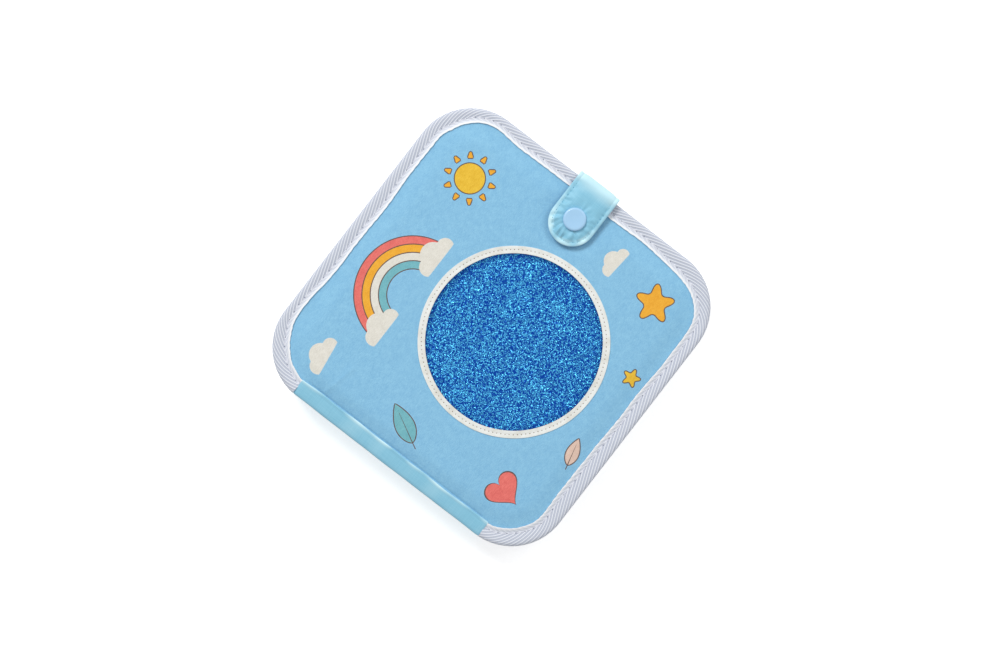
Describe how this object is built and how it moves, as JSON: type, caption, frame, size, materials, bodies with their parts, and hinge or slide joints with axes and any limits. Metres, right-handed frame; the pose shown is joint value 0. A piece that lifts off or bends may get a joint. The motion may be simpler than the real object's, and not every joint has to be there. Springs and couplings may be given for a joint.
{
  "type": "quiet book",
  "caption": "Square soft cloth book with round corners, a glitter window in its cover, taped leaves that turn on a cloth spine, and a snap strap.",
  "frame": {"origin": "middle of the bottom of the closed book's box, on the plane that it lies on", "axes": "+X from the spine to the fore edge, +Y up the page to its top edge, +Z through the book from the back cover to the front cover"},
  "size_m": [0.203, 0.2, 0.0326],
  "materials": {
    "cover_felt": "printed polyester felt, matt, fine short fibres",
    "lining_felt": "polyester felt, matt",
    "page_1_felt": "polyester felt, matt",
    "page_2_felt": "polyester felt, matt",
    "page_3_felt": "polyester felt, matt",
    "page_1_patch": "short pile fleece",
    "page_2_patch": "ribbed corduroy",
    "page_3_patch": "woven canvas",
    "wadding": "white polyester wadding",
    "edge_tape": "white herringbone twill tape",
    "aqua_cloth": "smooth woven polyester, slight sheen",
    "window_ring": "off-white coated cloth, stitched",
    "glitter_cloth": "royal blue glitter cloth",
    "snap_plastic": "moulded acetal, glossy"
  },
  "bodies": {
    "back_cover": {"back_cover_felt": "cover_felt", "back_cover_lining": "lining_felt", "back_cover_wadding": "wadding", "back_cover_binding": "edge_tape", "back_cover_spine_band": "aqua_cloth", "strap_base": "aqua_cloth"},
    "page_3": {"page_3_back_felt": "page_3_felt", "page_3_wadding": "wadding", "page_3_front_felt": "page_3_felt", "page_3_binding": "edge_tape", "page_3_spine_band": "aqua_cloth", "page_3_back_patch": "page_3_patch", "page_3_front_patch": "page_3_patch"},
    "page_2": {"page_2_back_felt": "page_2_felt", "page_2_wadding": "wadding", "page_2_front_felt": "page_2_felt", "page_2_binding": "edge_tape", "page_2_spine_band": "aqua_cloth", "page_2_back_patch": "page_2_patch", "page_2_front_patch": "page_2_patch"},
    "page_1": {"page_1_back_felt": "page_1_felt", "page_1_wadding": "wadding", "page_1_front_felt": "page_1_felt", "page_1_binding": "edge_tape", "page_1_spine_band": "aqua_cloth", "page_1_back_patch": "page_1_patch", "page_1_front_patch": "page_1_patch"},
    "front_cover": {"front_cover_lining": "lining_felt", "front_cover_wadding": "wadding", "front_cover_felt": "cover_felt", "front_cover_binding": "edge_tape", "front_cover_spine_band": "aqua_cloth", "window_ring": "window_ring", "window_glitter_cloth": "glitter_cloth", "snap_stud": "snap_plastic", "snap_stud_cap": "snap_plastic"},
    "strap_side": {"strap_side_cloth": "aqua_cloth", "strap_side_lining": "aqua_cloth"},
    "strap_tab": {"strap_tab_cloth": "aqua_cloth", "strap_tab_lining": "aqua_cloth", "snap_cap": "snap_plastic", "snap_socket": "snap_plastic"}
  },
  "joints": [
    {"name": "page_3_turn", "type": "hinge", "parent": "back_cover", "child": "page_3", "pos_m": [-0.1017, 0, 0.0131], "axis": [0, -1, 0], "range_deg": [0, 179.9]},
    {"name": "page_2_turn", "type": "hinge", "parent": "page_3", "child": "page_2", "pos_m": [-0.1017, 0, 0.0131], "axis": [0, -1, 0], "range_deg": [0, 179.9]},
    {"name": "page_1_turn", "type": "hinge", "parent": "page_2", "child": "page_1", "pos_m": [-0.1017, 0, 0.0131], "axis": [0, -1, 0], "range_deg": [0, 179.9]},
    {"name": "front_cover_turn", "type": "hinge", "parent": "page_1", "child": "front_cover", "pos_m": [-0.1017, 0, 0.0131], "axis": [0, -1, 0], "range_deg": [0, 179.9]},
    {"name": "strap_side_fold", "type": "hinge", "parent": "back_cover", "child": "strap_side", "pos_m": [0.1017, 0, 0.00315], "axis": [0, 1, 0], "range_deg": [0, 90]},
    {"name": "strap_tab_fold", "type": "hinge", "parent": "strap_side", "child": "strap_tab", "pos_m": [0.1017, 0, 0.02905], "axis": [0, 1, 0], "range_deg": [0, 90]}
  ]
}
